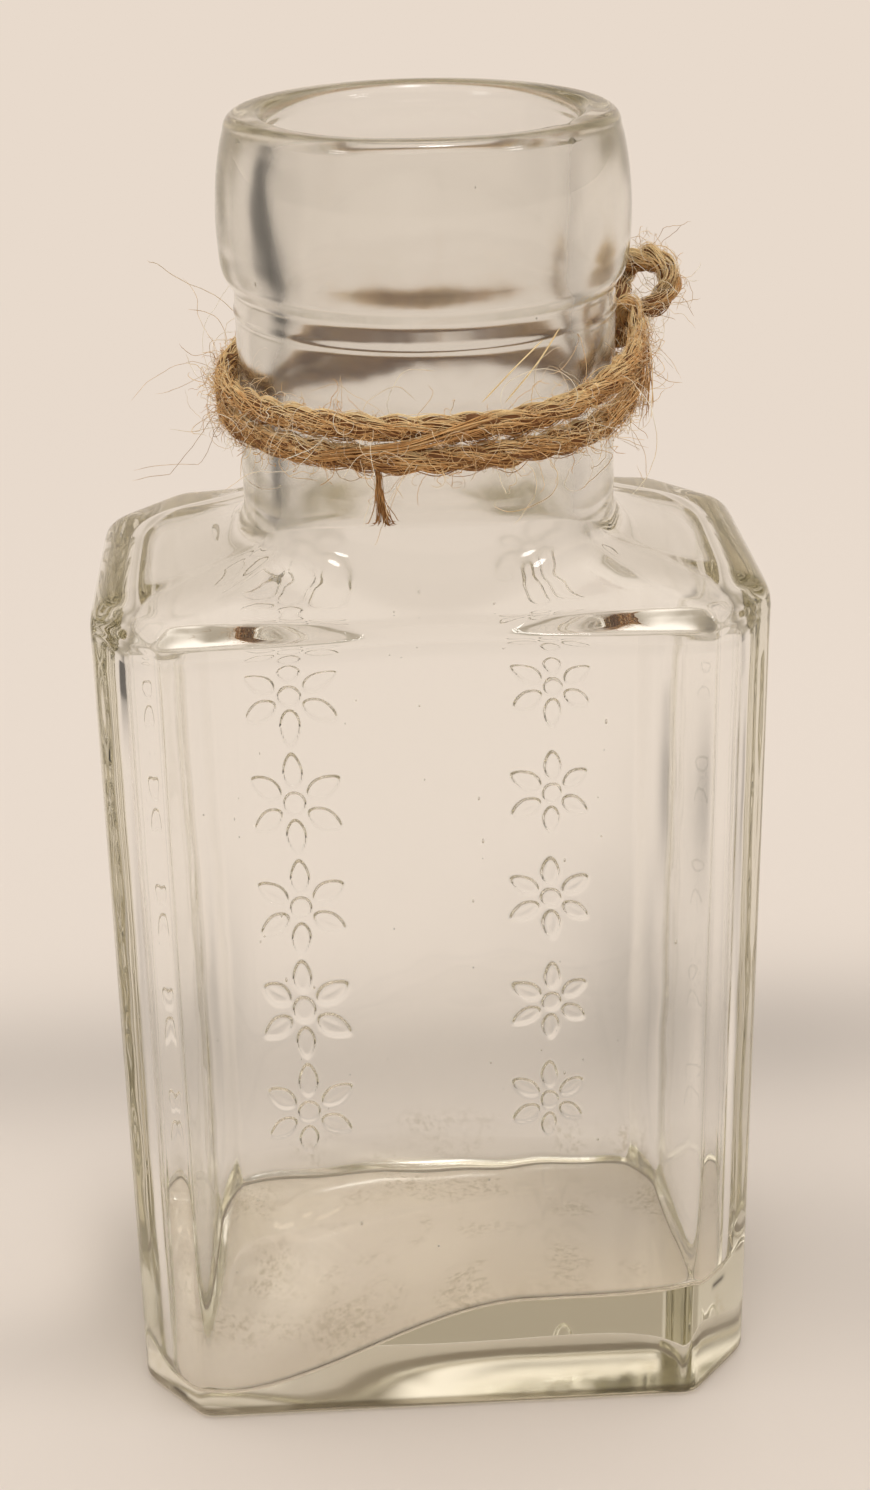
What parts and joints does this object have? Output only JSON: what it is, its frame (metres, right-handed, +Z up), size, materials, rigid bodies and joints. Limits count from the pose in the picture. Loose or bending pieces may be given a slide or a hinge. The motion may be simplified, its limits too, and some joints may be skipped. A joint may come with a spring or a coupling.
{
  "type": "embossed glass bottle",
  "caption": "Small rectangular clear-glass bottle with chamfered corners, a wide collared mouth, raised rosettes on its back and a jute twine wrap with a hang loop.",
  "frame": {"origin": "middle of the underside of the glass body", "axes": "+Z up through the mouth, +X across the wide panels to the hang loop's side, the plain front panel faces -Y and the rosettes face +Y"},
  "size_m": [0.06, 0.0401, 0.1218],
  "materials": {
    "clear_glass": "glossy",
    "jute": "matte"
  },
  "bodies": {
    "bottle": {"glass_bottle": "clear_glass"},
    "twine": {"twine_wraps": "jute", "twine_knot": "jute", "hang_loop": "jute", "loose_ply": "jute"}
  },
  "joints": [
    {"name": "twine_turn", "type": "hinge", "parent": "bottle", "child": "twine", "pos_m": [0.0004, 0, 0.086], "axis": [0, 0, 1], "continuous": true}
  ]
}
